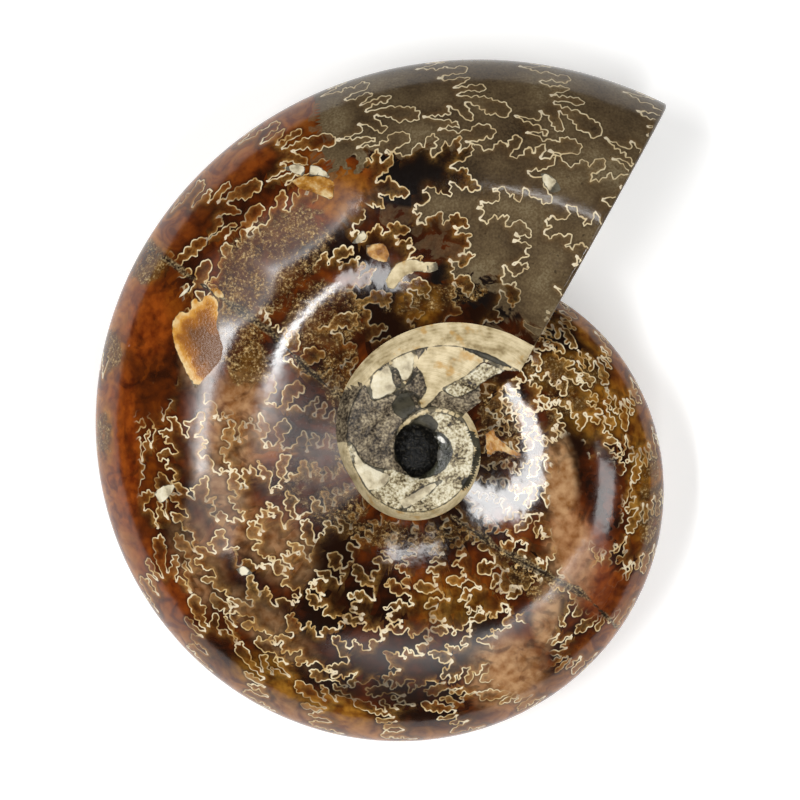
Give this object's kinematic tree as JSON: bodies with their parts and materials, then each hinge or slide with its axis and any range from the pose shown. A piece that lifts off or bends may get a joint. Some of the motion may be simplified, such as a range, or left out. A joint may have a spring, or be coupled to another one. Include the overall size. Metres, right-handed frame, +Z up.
{
  "type": "polished ammonite",
  "caption": "Coiled fossil shell, sawn flat at the mouth and polished to show its chamber sutures, lying on one flank as a display piece.",
  "frame": {"origin": "middle of the bounding box in plan, on the surface that the shell lies on", "axes": "+Z up through the flanks, +Y towards the widest part of the last whorl, +X to the right as seen from above with the sawn mouth at the upper right"},
  "size_m": [0.125, 0.1496, 0.0453],
  "materials": {
    "polished_calcite": null
  },
  "bodies": {
    "root": {"ammonite": "polished_calcite"}
  },
  "joints": []
}
